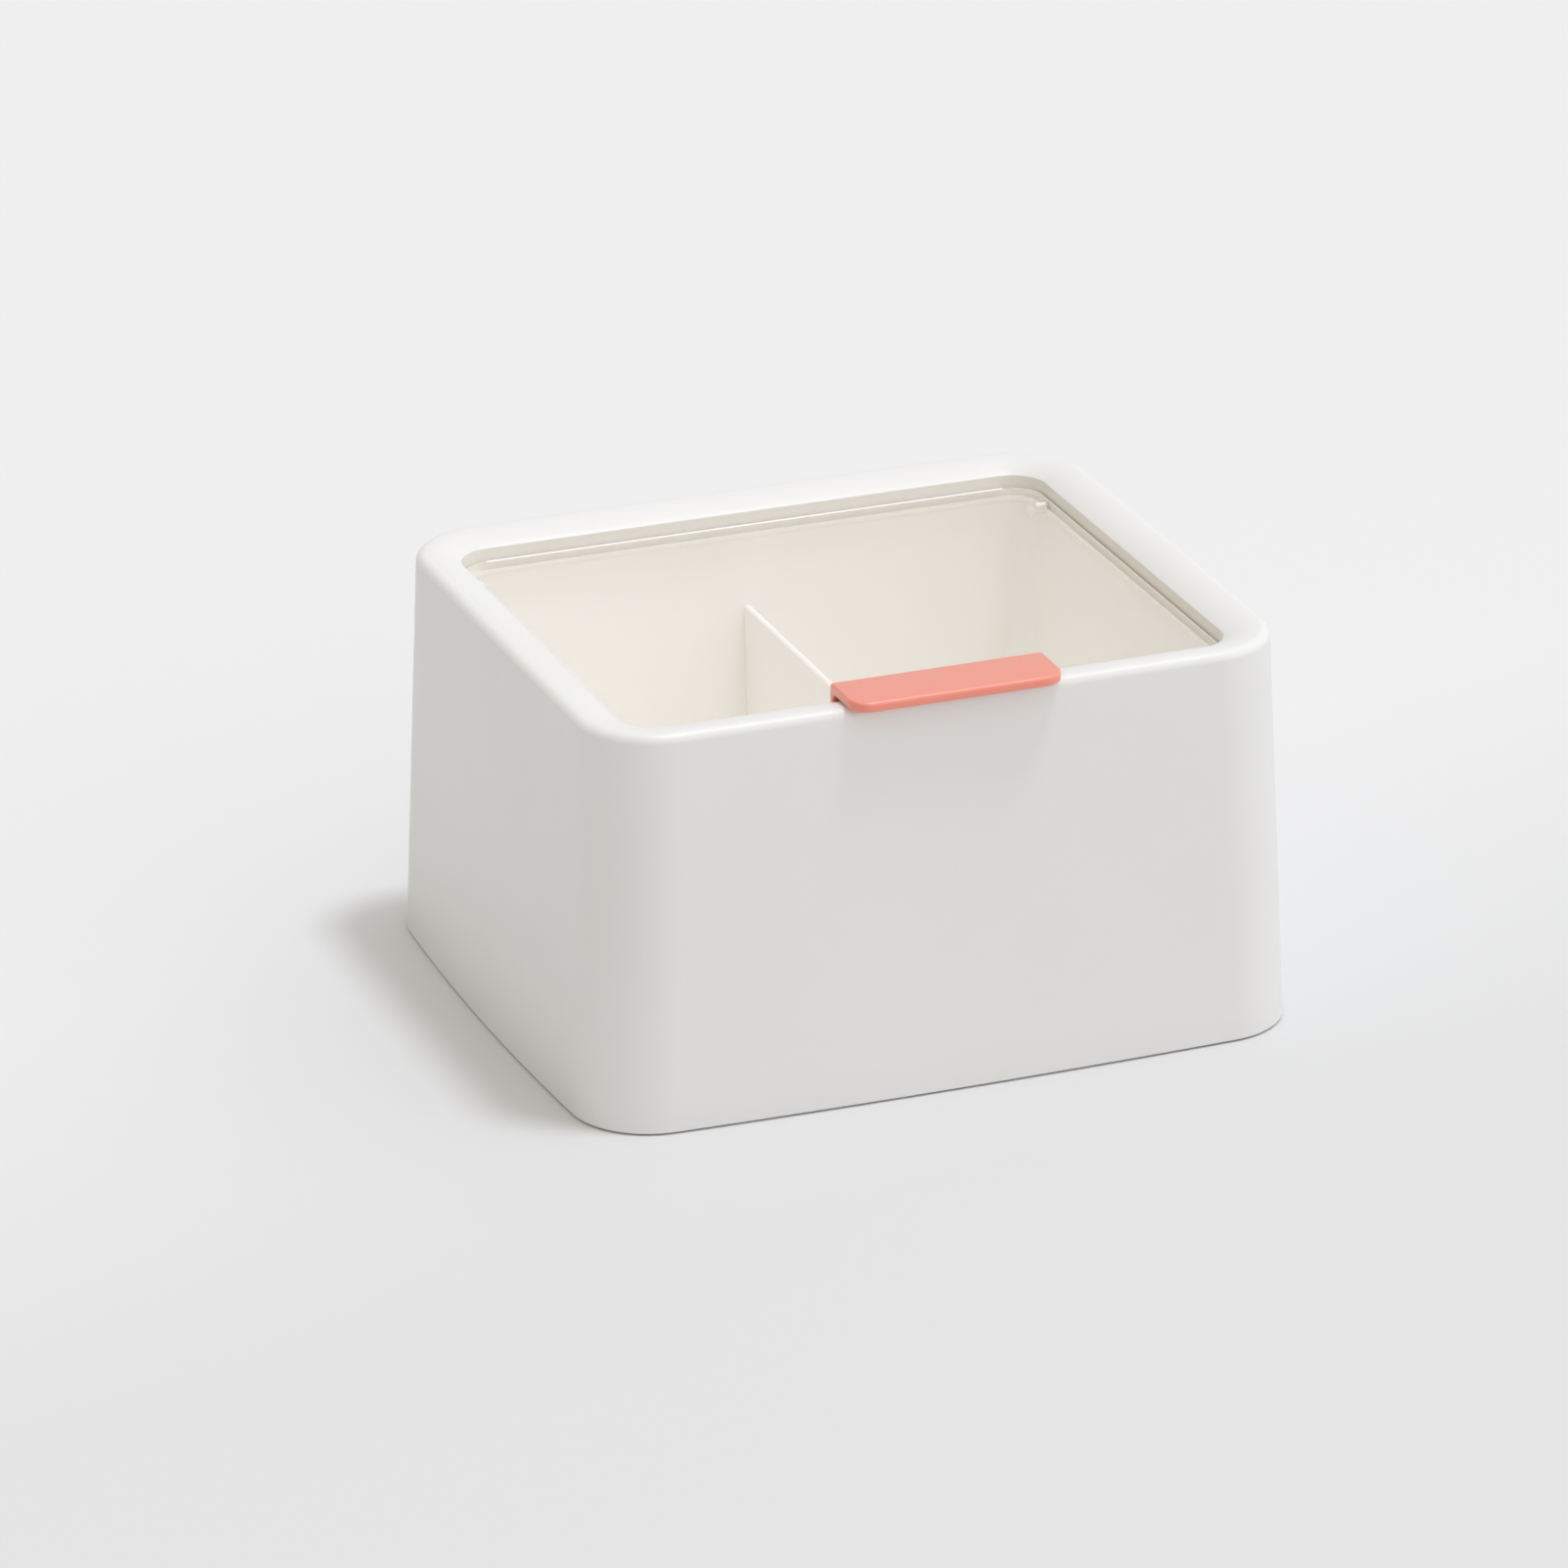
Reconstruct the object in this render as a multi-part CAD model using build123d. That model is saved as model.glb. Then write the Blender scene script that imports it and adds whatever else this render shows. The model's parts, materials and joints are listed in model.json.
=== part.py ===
from build123d import *
import os
from math import atan2, degrees, hypot, sqrt

# Millimetres, +Z up, -Y the front. The origin is on the floor, under the middle of the box.

# Outer form: a straight-walled box that widens and swells a little towards the floor
rim_height = 100.0        # floor to the crown of the rim
top_width = 176.2         # across the middle of the side walls, at the rim
top_depth = 149.6         # across the middle of the front and rear walls, at the rim
top_corner = 19.5
top_bow = 0.4             # how far the middle of a side stands out past its ends, at the rim
flare_x = 5.1             # each side wall leans out by this from the rim to the floor
flare_y = 4.6             # the front and rear walls lean out by this
base_corner = 20.0
base_bow_x = 3.2          # the same swell at the floor, on the left and right walls
base_bow_y = 2.3          # the same swell at the floor, on the front and rear walls
shell_lift = 0.4          # lower edge of the shell above the floor
shell_wall = 2.6

# Rim: a rounded outer edge, a narrow flat crown, then a roll down towards the lid
rim_band = 11.2           # outer edge of the rim to the recess
crown_round = 2.4
crown_flat = 0.2
fall_radius = 16.0
rim_edge = 0.6            # rounding where the roll meets the recess wall
deck_depth = 7.2          # crown to the underside of the deck
core_depth = 3.4          # groove that lightens the deck under the crown
core_setback = 1.8        # from the outside of the recess wall to that groove

# Recess that the lid lies in
recess_corner = 9.0
recess_wall = 2.2
recess_drop = 9.0         # crown to the lower edge of the recess wall, where the tray begins
rest_reach = 2.0          # ledge along the front of the recess, under the lid's edge
rest_length = 120.0

# Lid: a clear plate with a round ear under each side for its hinge pin
lid_drop = 5.4            # crown to the lid's top face
lid_plate = 2.0
lid_gap = 0.4             # to the recess wall, all round
lid_rest_gap = 0.3        # to the ledge at the front
lid_edge = 0.6            # rounding of the lid's upper edge
ear_diameter = 4.4
ear_length = 5.0          # along the pin

# Hinge pins
pin_diameter = 2.0
pin_setback = 11.7        # rear wall of the recess to the pins' axis
pin_in_lid = 3.6          # length of pin inside the lid
pin_in_shell = 6.2        # length of pin outside the recess
pin_running = 0.05        # radial clearance in the lid
pin_holding = 0.01        # radial clearance in the shell, a push fit
pin_hole_spare = 0.5      # pin holes go on past the ends of the pins by this
pin_boss = 6.0            # diameter of the boss around each pin in the shell
pin_chamfer = 0.2

# Pull tab: a flat strip over the front rim with a leg down the lid's front edge
tab_length = 53.8
tab_reach = 16.2          # front edge to the back of the leg
tab_plate = 2.5
tab_leg = 2.0
tab_over_rim = 0.2        # underside of the strip above the crown
tab_leg_lift = 0.3        # foot of the leg above the lid's lower edge
tab_corner = 5.0          # front corners, seen from above
tab_inside = 1.5          # inside bend
tab_outside = 0.9         # outside bend
tab_soft = 0.5            # edges of the strip
tab_gap = 0.6             # to the notch in the rim, on three sides
notch_backing = 1.8       # wall behind the notch
peg_diameter = 0.8        # two pegs hold the leg to the lid
peg_length = 2.4
peg_rise = 0.8            # pegs' axes above the lid's lower face
peg_hole_spare = 0.4
peg_pitch = 36.0
peg_fit = 0.01

# Inner tray
tray_wall = 1.8
tray_floor = 2.0
tray_taper = 4.0          # each wall leans in by this from the top to the floor
tray_floor_corner = 8.0
tray_floor_round = 3.0
tray_flange = 1.8

# Divider and its guide ribs
divider_thickness = 1.8
divider_height = 67.2
divider_gap = 0.3         # to the tray's front and rear walls
divider_soft = 0.5        # upper edges
guide_gap = 0.15
guide_rib = 1.5
guide_reach = 2.0
guide_height = 24.0

# Base cover, its screws and the foot pads
cover_lift = 1.2          # underside of the cover above the floor
cover_thickness = 3.0
cover_gap = 0.4
screw_diameter = 3.0
screw_length = 12.0
screw_fit = 0.01
screw_head_diameter = 5.6
screw_head = 1.5
screw_head_soft = 0.5
screw_clearance = 0.3     # around head and shank in the cover
screw_sink = 1.6          # depth of the pocket for each screw head
screw_hole_spare = 1.0
boss_diameter = 5.6
boss_gap = 0.6            # bosses to the recess wall and the tray's flange
boss_rib = 1.6
foot_diameter = 12.0
foot_pocket = 0.6
foot_fit = 0.1
foot_inset = 28.0         # from the shell's lower edge to a pad's middle
foot_soft = 0.4

# Heights that follow
deck_under = rim_height - deck_depth
recess_bottom = rim_height - recess_drop
lid_top = rim_height - lid_drop
lid_bottom = lid_top - lid_plate
lid_rest = lid_bottom - lid_rest_gap
cover_top = cover_lift + cover_thickness
floor_top = cover_top + tray_floor
pin_z = lid_bottom
peg_z = lid_bottom + peg_rise
tab_under = rim_height + tab_over_rim
tab_top = tab_under + tab_plate

# Places that follow
base_width = top_width + 2 * flare_x
base_depth = top_depth + 2 * flare_y
recess_width = top_width - 2 * rim_band
recess_depth = top_depth - 2 * rim_band
foot_x = base_width / 2 - foot_inset
foot_y = base_depth / 2 - foot_inset
pin_y = recess_depth / 2 - pin_setback
lid_width = recess_width - 2 * lid_gap
lid_depth = recess_depth - 2 * lid_gap
lid_corner = recess_corner - lid_gap
lid_front = -lid_depth / 2
leg_front = lid_front - tab_leg
notch_front = leg_front - tab_gap
tray_floor_depth = recess_depth - 2 * tray_taper
boss_reach = (recess_corner + recess_wall + boss_gap + boss_diameter / 2) / sqrt(2)
boss_x = recess_width / 2 - recess_corner + boss_reach
boss_y = recess_depth / 2 - recess_corner + boss_reach
sides = (-1, 1)
corners = [(x, y) for x in sides for y in sides]


def swelled_face(width, depth, bow_x, bow_y, corner, z):
    """Level face bounded by four long side arcs and four corner arcs that run into them smoothly."""
    half_x = width / 2
    half_y = depth / 2
    radius_x = (half_y**2 + bow_x**2) / (2 * bow_x)
    radius_y = (half_x**2 + bow_y**2) / (2 * bow_y)
    centre_x = half_x - radius_x
    centre_y = half_y - radius_y
    # The corner's centre lies where two circles about the side arcs' centres cross
    reach_x = radius_x - corner
    reach_y = radius_y - corner
    offset = (reach_x**2 - reach_y**2 - centre_x**2 + centre_y**2) / (2 * centre_y)
    slope = centre_x / centre_y
    middle = centre_x - offset * slope
    spread = middle**2 - (1 + slope**2) * (centre_x**2 + offset**2 - reach_x**2)
    u = (middle + sqrt(spread)) / (1 + slope**2)
    v = offset + slope * u
    side_end = (centre_x + (u - centre_x) * radius_x / reach_x, v * radius_x / reach_x)
    front_end = (u * radius_y / reach_y, centre_y + (v - centre_y) * radius_y / reach_y)
    turn_x = side_end[0] + front_end[0] - 2 * u
    turn_y = side_end[1] + front_end[1] - 2 * v
    turn = corner / hypot(turn_x, turn_y)
    bend = (u + turn_x * turn, v + turn_y * turn)
    edges = []
    for sx in sides:
        edges.append(ThreePointArc(
            (sx * side_end[0], -side_end[1]), (sx * half_x, 0), (sx * side_end[0], side_end[1])))
    for sy in sides:
        edges.append(ThreePointArc(
            (-front_end[0], sy * front_end[1]), (0, sy * half_y), (front_end[0], sy * front_end[1])))
    for sx, sy in corners:
        edges.append(ThreePointArc(
            (sx * side_end[0], sy * side_end[1]),
            (sx * bend[0], sy * bend[1]),
            (sx * front_end[0], sy * front_end[1])))
    return Pos(0, 0, z) * make_face(edges)


def top_face(inset, z):
    """The rim's outline, set in by inset, at height z."""
    return swelled_face(
        top_width - 2 * inset, top_depth - 2 * inset, top_bow, top_bow, top_corner - inset, z)


def base_face(inset, z):
    """The outline at the floor, set in by inset, at height z."""
    return swelled_face(
        base_width - 2 * inset, base_depth - 2 * inset, base_bow_x, base_bow_y, base_corner - inset, z)


def rounded_prism(width, depth, corner, low, high):
    """Upright prism with a rounded-rectangle plan, from height low to height high."""
    return Pos(0, 0, low) * extrude(RectangleRounded(width, depth, corner), high - low)


def recess_prism(outset, low, high):
    """The recess's outline, moved out by outset, from height low to height high."""
    return rounded_prism(
        recess_width + 2 * outset, recess_depth + 2 * outset, recess_corner + outset, low, high)


def block(low, high):
    """Box between two opposite corners."""
    size = [b - a for a, b in zip(low, high)]
    middle = [(a + b) / 2 for a, b in zip(low, high)]
    return Pos(*middle) * Box(*size)


def rod(start, direction, radius, length):
    """Round bar from a point along a direction."""
    return Plane(origin=start, z_dir=direction) * Cylinder(
        radius, length, align=(Align.CENTER, Align.CENTER, Align.MIN))


def rim_roll():
    """What the rolled rim leaves out: a section above its falling arc, carried round the recess."""
    reach = rim_band - crown_round - crown_flat
    centre_z = rim_height - fall_radius
    half_z = centre_z + sqrt(fall_radius**2 - (reach / 2) ** 2)
    clear_z = rim_height + deck_depth
    # The edge's arc touches the recess wall at edge_z and the roll where the two centres' line meets it
    near = reach - rim_edge
    edge_z = centre_z + sqrt((fall_radius - rim_edge) ** 2 - near**2)
    grow = fall_radius / (fall_radius - rim_edge)
    touch = (reach - near * grow, centre_z + (edge_z - centre_z) * grow)
    out_n = touch[0] - 2 * rim_edge
    out_z = touch[1] - edge_z
    bend_n = rim_edge + rim_edge * out_n / hypot(out_n, out_z)
    bend_z = edge_z + rim_edge * out_z / hypot(out_n, out_z)
    straight_x = recess_width / 2 - recess_corner
    straight_y = recess_depth / 2 - recess_corner

    def section(start, plane):
        edge = ThreePointArc(
            (start, edge_z), (start + bend_n, bend_z), (start + touch[0], touch[1]))
        roll = ThreePointArc(
            (start + touch[0], touch[1]), (start + reach / 2, half_z), (start + reach, rim_height))
        lines = Polyline(
            (start + reach, rim_height), (start + reach, clear_z),
            (start - recess_corner / 2, clear_z), (start - recess_corner / 2, edge_z), (start, edge_z))
        return plane * make_face([edge, roll, lines])

    side = extrude(section(recess_width / 2, Plane.XZ), straight_y, both=True)
    rear = extrude(section(recess_depth / 2, Plane.YZ), straight_x, both=True)
    bend = revolve(section(recess_corner, Plane.XZ), Axis.Z, 90)
    pieces = [side, mirror(side, Plane.YZ), rear, mirror(rear, Plane.XZ)]
    for turn, (x, y) in enumerate([(1, 1), (-1, 1), (-1, -1), (1, -1)]):
        pieces.append(Pos(x * straight_x, y * straight_y) * Rot(0, 0, 90 * turn) * bend)
    return pieces


def outer_shell():
    """White casing: drafted walls, rolled rim, recess for the lid, bosses for screws and pins."""
    body = loft([base_face(0, shell_lift), top_face(0, rim_height)], ruled=True)
    form = body
    body = fillet(body.edges().group_by(Axis.Z)[-1], crown_round)
    body -= loft([base_face(shell_wall, shell_lift), top_face(shell_wall, deck_under)], ruled=True)
    core = extrude(top_face(shell_wall, deck_under), core_depth)
    body -= core - recess_prism(recess_wall + core_setback, deck_under, deck_under + core_depth)
    body += recess_prism(recess_wall, recess_bottom, deck_under)
    notch_half = tab_length / 2 + tab_gap
    body += block(
        (-notch_half - notch_backing, notch_front - notch_backing, recess_bottom),
        (notch_half + notch_backing, 0, deck_under))
    column = Pos(0, 0, cover_top) * Cylinder(
        boss_diameter / 2, deck_under - cover_top, align=(Align.CENTER, Align.CENTER, Align.MIN))
    web = block((0, -boss_rib / 2, cover_top), (base_corner, boss_rib / 2, deck_under))
    for x, y in corners:
        place = Pos(x * boss_x, y * boss_y)
        body += place * column
        body += (place * Rot(0, 0, degrees(atan2(y, x))) * web) & form
    for x in sides:
        start = (x * (recess_width + recess_wall) / 2, pin_y, pin_z)
        boss = rod(start, (x, 0, 0), pin_boss / 2, pin_in_shell + pin_hole_spare - recess_wall / 2)
        body += boss - recess_prism(recess_wall + boss_gap, recess_bottom - pin_boss, recess_bottom)
    body -= recess_prism(0, recess_bottom, rim_height + deck_depth)
    for piece in rim_roll():
        body -= piece
    body += block(
        (-rest_length / 2, -(recess_depth + recess_wall) / 2, recess_bottom),
        (rest_length / 2, -recess_depth / 2 + rest_reach, lid_rest))
    body -= block((-notch_half, notch_front, lid_rest), (notch_half, lid_front, rim_height))
    for x in sides:
        start = (x * (recess_width / 2 - lid_gap), pin_y, pin_z)
        length = lid_gap + pin_in_shell + 2 * pin_hole_spare
        body -= rod(start, (x, 0, 0), pin_diameter / 2 + pin_holding, length)
    pilot_depth = screw_length - cover_thickness + screw_sink + screw_hole_spare
    for x, y in corners:
        body -= rod(
            (x * boss_x, y * boss_y, cover_top), (0, 0, 1), screw_diameter / 2 + screw_fit, pilot_depth)
    return body


def tray_form(outset, low, high):
    """Tapered tray volume between two heights; the taper runs from the tray's floor to its top."""
    def level(z):
        share = (recess_bottom - z) / (recess_bottom - floor_top)
        return Pos(0, 0, z) * RectangleRounded(
            recess_width - 2 * tray_taper * share + 2 * outset,
            recess_depth - 2 * tray_taper * share + 2 * outset,
            recess_corner - (recess_corner - tray_floor_corner) * share + outset)
    return loft([level(low), level(high)], ruled=True)


def inner_tray():
    """Cream liner: tapered walls and floor, a flange under the recess wall, ribs for the divider."""
    form = tray_form(tray_wall, cover_top, recess_bottom)
    hollow = tray_form(0, floor_top, recess_bottom)
    hollow = fillet(hollow.edges().group_by(Axis.Z)[0], tray_floor_round)
    body = form + recess_prism(recess_wall, recess_bottom - tray_flange, recess_bottom)
    body -= hollow
    inner = divider_thickness / 2 + guide_gap
    low_y = tray_floor_depth / 2 - guide_reach
    for x in sides:
        for y in sides:
            near = (x * inner, y * low_y, floor_top)
            far = (x * (inner + guide_rib), y * recess_depth / 2, floor_top + guide_height)
            low = [min(a, b) for a, b in zip(near, far)]
            high = [max(a, b) for a, b in zip(near, far)]
            body += block(low, high) & form
    return body


def divider():
    """Upright plate across the tray, standing on its floor between the guide ribs."""
    lean = tray_taper * divider_height / (recess_bottom - floor_top)
    low_half = tray_floor_depth / 2 - divider_gap
    high_half = low_half + lean
    cut = tray_floor_round + divider_gap
    cut_half = low_half + lean * cut / divider_height
    outline = Polyline(
        (-low_half + cut, 0), (low_half - cut, 0), (cut_half, cut), (high_half, divider_height),
        (-high_half, divider_height), (-cut_half, cut), close=True)
    body = Pos(0, 0, floor_top) * extrude(Plane.YZ * make_face(outline), divider_thickness / 2, both=True)
    ridge = body.edges().filter_by(Axis.Y).group_by(Axis.Z)[-1]
    return fillet(ridge, divider_soft)


def lid_panel():
    """Clear lid: a plate with an ear for each hinge pin and holes for the tab's pegs."""
    body = rounded_prism(lid_width, lid_depth, lid_corner, lid_bottom, lid_top)
    body = fillet(body.edges().group_by(Axis.Z)[-1], lid_edge)
    below = rounded_prism(lid_width, lid_depth, lid_corner, lid_bottom - ear_diameter, peg_z)
    for x in sides:
        ear = rod((x * lid_width / 2, pin_y, pin_z), (-x, 0, 0), ear_diameter / 2, ear_length)
        body += ear & below
        body -= rod(
            (x * recess_width / 2, pin_y, pin_z), (-x, 0, 0), pin_diameter / 2 + pin_running,
            lid_gap + pin_in_lid + pin_hole_spare)
        body -= rod(
            (x * peg_pitch / 2, lid_front, peg_z), (0, 1, 0), peg_diameter / 2 + peg_fit,
            peg_length + peg_hole_spare)
    return body


def hinge_pin(x):
    """Hinge pin on the side x, one end in the shell and one in the lid."""
    start = (x * (lid_width / 2 - pin_in_lid), pin_y, pin_z)
    length = pin_in_lid + lid_gap + pin_in_shell
    body = rod(start, (x, 0, 0), pin_diameter / 2, length)
    return chamfer(body.edges().filter_by(GeomType.CIRCLE), pin_chamfer)


def lid_tab():
    """Coral pull: an L-shaped strip with rounded front corners and two pegs into the lid."""
    front = lid_front - tab_reach
    foot = lid_bottom + tab_leg_lift
    outline = Polyline(
        (lid_front, foot), (lid_front, tab_top), (front, tab_top), (front, tab_under),
        (leg_front, tab_under), (leg_front, foot), close=True)
    body = extrude(Plane.YZ * make_face(outline), tab_length / 2, both=True)
    for y, z, radius in ((leg_front, tab_under, tab_inside), (lid_front, tab_top, tab_outside)):
        bend = body.edges().filter_by(Axis.X).filter_by_position(Axis.Y, y, y)
        body = fillet(bend.filter_by_position(Axis.Z, z, z), radius)
    body = fillet(body.edges().filter_by(Axis.Z).group_by(Axis.Y)[0], tab_corner)
    lip = body.edges().filter_by_position(Axis.Y, front, front + tab_corner)
    body = fillet(lip.filter_by_position(Axis.Z, tab_top, tab_top), tab_soft)
    for x in sides:
        body += rod((x * peg_pitch / 2, lid_front, peg_z), (0, 1, 0), peg_diameter / 2, peg_length)
    return body


def base_cover():
    """Plate that closes the casing from below, with pockets for the screw heads and foot pads."""
    body = extrude(base_face(shell_wall + cover_gap, cover_lift), cover_thickness)
    for x, y in corners:
        place = (x * boss_x, y * boss_y, cover_lift)
        body -= rod(place, (0, 0, 1), screw_head_diameter / 2 + screw_clearance, screw_sink)
        body -= rod(place, (0, 0, 1), screw_diameter / 2 + screw_clearance, cover_thickness)
        foot = (x * foot_x, y * foot_y, cover_lift)
        body -= rod(foot, (0, 0, 1), foot_diameter / 2 + foot_fit, foot_pocket)
    return body


def base_screw(x, y):
    """Pan-head screw up through the cover into a boss."""
    seat = cover_lift + screw_sink
    place = (x * boss_x, y * boss_y, seat)
    head = rod(place, (0, 0, -1), screw_head_diameter / 2, screw_head)
    head = fillet(head.edges().group_by(Axis.Z)[0], screw_head_soft)
    shank = rod(place, (0, 0, 1), screw_diameter / 2, screw_length)
    return head + shank


def foot_pad(x, y):
    """Round soft pad in its pocket under the cover."""
    place = (x * foot_x, y * foot_y, 0)
    pad = rod(place, (0, 0, 1), foot_diameter / 2, cover_lift + foot_pocket)
    return fillet(pad.edges().filter_by(GeomType.CIRCLE).group_by(Axis.Z)[0], foot_soft)


nodes = {
    "outer_shell": outer_shell(),
    "inner_tray": inner_tray(),
    "divider": divider(),
    "lid_panel": lid_panel(),
    "lid_tab": lid_tab(),
    "hinge_pin_left": hinge_pin(-1),
    "hinge_pin_right": hinge_pin(1),
    "base_cover": base_cover(),
    "base_screws": Compound(children=[base_screw(x, y) for x, y in corners]),
    "foot_front_left": foot_pad(-1, -1),
    "foot_front_right": foot_pad(1, -1),
    "foot_rear_left": foot_pad(-1, 1),
    "foot_rear_right": foot_pad(1, 1),
}

os.makedirs("parts", exist_ok=True)
for name, solid in nodes.items():
    export_step(solid, f"parts/{name}.step")
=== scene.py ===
"""Looks for a cosmetic organizer box with a clear flip lid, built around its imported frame.

Sizes are in millimetres, as in the part's own drawing, and become metres when a mesh is made.
"""

import json
import logging
import math
from abc import ABC, abstractmethod
from dataclasses import dataclass, replace
from enum import Enum, IntEnum
from typing import ClassVar

import bmesh
import bpy
import numpy as np
from mathutils import Matrix, Vector


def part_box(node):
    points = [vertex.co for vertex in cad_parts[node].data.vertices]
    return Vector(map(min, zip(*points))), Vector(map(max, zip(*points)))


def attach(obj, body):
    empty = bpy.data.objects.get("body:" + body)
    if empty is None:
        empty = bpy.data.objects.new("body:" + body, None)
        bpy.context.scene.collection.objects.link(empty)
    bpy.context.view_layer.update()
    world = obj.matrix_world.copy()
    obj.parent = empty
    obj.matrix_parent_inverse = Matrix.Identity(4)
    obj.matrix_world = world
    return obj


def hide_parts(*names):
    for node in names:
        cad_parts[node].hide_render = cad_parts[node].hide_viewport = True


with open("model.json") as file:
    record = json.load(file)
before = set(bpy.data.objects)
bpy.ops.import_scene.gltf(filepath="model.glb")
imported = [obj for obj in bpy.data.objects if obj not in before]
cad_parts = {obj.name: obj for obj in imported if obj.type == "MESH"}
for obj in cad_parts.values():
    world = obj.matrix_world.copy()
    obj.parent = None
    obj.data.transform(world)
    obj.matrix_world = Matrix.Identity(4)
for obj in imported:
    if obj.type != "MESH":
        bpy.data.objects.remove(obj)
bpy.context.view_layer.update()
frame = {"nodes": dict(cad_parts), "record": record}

LOG = logging.getLogger("organizer_box")
MM = 0.001
# Points closer than this are welded, in metres.
WELD_M = 2e-6
# Columns are doubled this far to each side of a step in an outline, in millimetres.
STEP_MM = 0.01
# Point attribute that marks where finishes paint light and shade: painted shade on the casing's
# recess wall, a painted reflection on the lid's edges and a painted highlight on its rear top edge;
# then its values on a lid edge and on that highlight.
EDGE = "edge"
PAINTED_REFLECTION_EDGE_MARK = 0.5
PAINTED_HIGHLIGHT_MARK = 1.0
FOOT_NODES = tuple(f"foot_{end}_{side}" for end in ("front", "rear") for side in ("left", "right"))

Array = np.ndarray
Pair = tuple[float, float]
Triple = tuple[float, float, float]
Socket = bpy.types.NodeSocket


class Body(Enum):
    """The rigid bodies that a piece can ride on."""

    CASE = "case"
    LID = "lid"


class Slot(Enum):
    """The record's material slots, one named on each new piece."""

    SHELL = "shell_white"
    TRAY = "tray_cream"
    LID = "lid_clear"
    TAB = "tab_coral"
    SCREW = "screw_steel"
    FOOT = "foot_silicone"


class Side(IntEnum):
    """The sides of the box, anticlockwise from above."""

    RIGHT = 0
    REAR = 1
    LEFT = 2
    FRONT = 3


class Bench:
    """One material's node tree, with short ways to add nodes and join them."""

    def __init__(self, name: str) -> None:
        """Starts a material with one Principled shader.

        Args:
            name: the material's name.
        """
        self.material = bpy.data.materials.new(name)
        self.material.use_nodes = True
        self.tree = self.material.node_tree
        self.shader = self.tree.nodes["Principled BSDF"]

    def add(self, kind: str, **settings: object) -> bpy.types.ShaderNode:
        """Adds a node.

        Args:
            kind: Blender's name for the node type.
            settings: properties to set on it.

        Returns:
            The new node.
        """
        node = self.tree.nodes.new(kind)
        for name, value in settings.items():
            setattr(node, name, value)
        return node

    def link(self, source: Socket, target: Socket) -> None:
        """Joins an output socket to an input socket."""
        self.tree.links.new(source, target)

    def feed(self, name: str, source: Socket) -> None:
        """Joins an output socket to the shader's input of that name."""
        self.link(source, self.shader.inputs[name])

    def fix(self, constants: dict[str, float | Triple]) -> None:
        """Sets constants on the shader's own sockets, by their names."""
        for name, value in constants.items():
            self.shader.inputs[name].default_value = value

    def noise(self, scale: float, detail: float, stretch: Triple = (1.0, 1.0, 1.0)) -> Socket:
        """Noise on the piece's own coordinates.

        Args:
            scale: features per metre.
            detail: octaves of finer noise.
            stretch: how much finer the noise is along X, Y and Z.

        Returns:
            The noise value's socket.
        """
        place = self.add("ShaderNodeTexCoord")
        turn = self.add("ShaderNodeMapping")
        turn.inputs["Scale"].default_value = stretch
        cloud = self.add("ShaderNodeTexNoise")
        cloud.inputs["Scale"].default_value = scale
        cloud.inputs["Detail"].default_value = detail
        self.link(place.outputs["Object"], turn.inputs["Vector"])
        self.link(turn.outputs["Vector"], cloud.inputs["Vector"])
        return cloud.outputs[0]

    def mark(self) -> Socket:
        """How far a point belongs to an edge, as its mesh says."""
        return self.add("ShaderNodeAttribute", attribute_name=EDGE).outputs["Fac"]

    def spread(
        self, value: Socket, low: float, high: float, start: float = 0.3, end: float = 0.7
    ) -> Socket:
        """Maps a stretch of a value's range to another range, and holds it at both ends.

        Args:
            value: the value's socket.
            low: result at start.
            high: result at end.
            start: lower end of the stretch.
            end: upper end of the stretch.

        Returns:
            The new value's socket.
        """
        span = self.add("ShaderNodeMapRange")
        ends = {"From Min": start, "From Max": end, "To Min": low, "To Max": high}
        for name, number in ends.items():
            span.inputs[name].default_value = number
        self.link(value, span.inputs["Value"])
        return span.outputs["Result"]

    def tint(self, value: Socket, first: Triple | Socket, second: Triple) -> Socket:
        """Mixes two colours by a value.

        Args:
            value: share of the second colour.
            first: linear colour at 0, or its socket.
            second: linear colour at 1.

        Returns:
            The mixed colour's socket.
        """
        mix = self.add("ShaderNodeMix", data_type="RGBA")
        colours = [socket for socket in mix.inputs if socket.type == "RGBA"]
        for socket, colour in zip(colours, (first, second)):
            if isinstance(colour, Socket):
                self.link(colour, socket)
            else:
                socket.default_value = (*colour, 1.0)
        self.link(value, mix.inputs["Factor"])
        return next(socket for socket in mix.outputs if socket.type == "RGBA")

    def reach(self, source: str, way: Triple) -> Socket:
        """How far a texture coordinate reaches along a direction.

        Args:
            source: the coordinate's name.
            way: the direction.

        Returns:
            The value's socket.
        """
        place = self.add("ShaderNodeTexCoord")
        along = self.add("ShaderNodeVectorMath", operation="DOT_PRODUCT")
        along.inputs[1].default_value = way
        self.link(place.outputs[source], along.inputs[0])
        return along.outputs["Value"]

    def product(self, first: Socket, second: Socket) -> Socket:
        """Multiplies two values.

        Args:
            first: one value's socket.
            second: the other value's socket.

        Returns:
            The product's socket.
        """
        step = self.add("ShaderNodeMath", operation="MULTIPLY")
        self.link(first, step.inputs[0])
        self.link(second, step.inputs[1])
        return step.outputs["Value"]

    def relief(self, value: Socket, strength: float, depth_mm: float) -> None:
        """Uses a value as fine surface relief.

        Args:
            value: the value's socket.
            strength: share of the relief that is used.
            depth_mm: its full depth.
        """
        bump = self.add("ShaderNodeBump")
        bump.inputs["Strength"].default_value = strength
        bump.inputs["Distance"].default_value = depth_mm * MM
        self.link(value, bump.inputs["Height"])
        self.feed("Normal", bump.outputs["Normal"])


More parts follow.
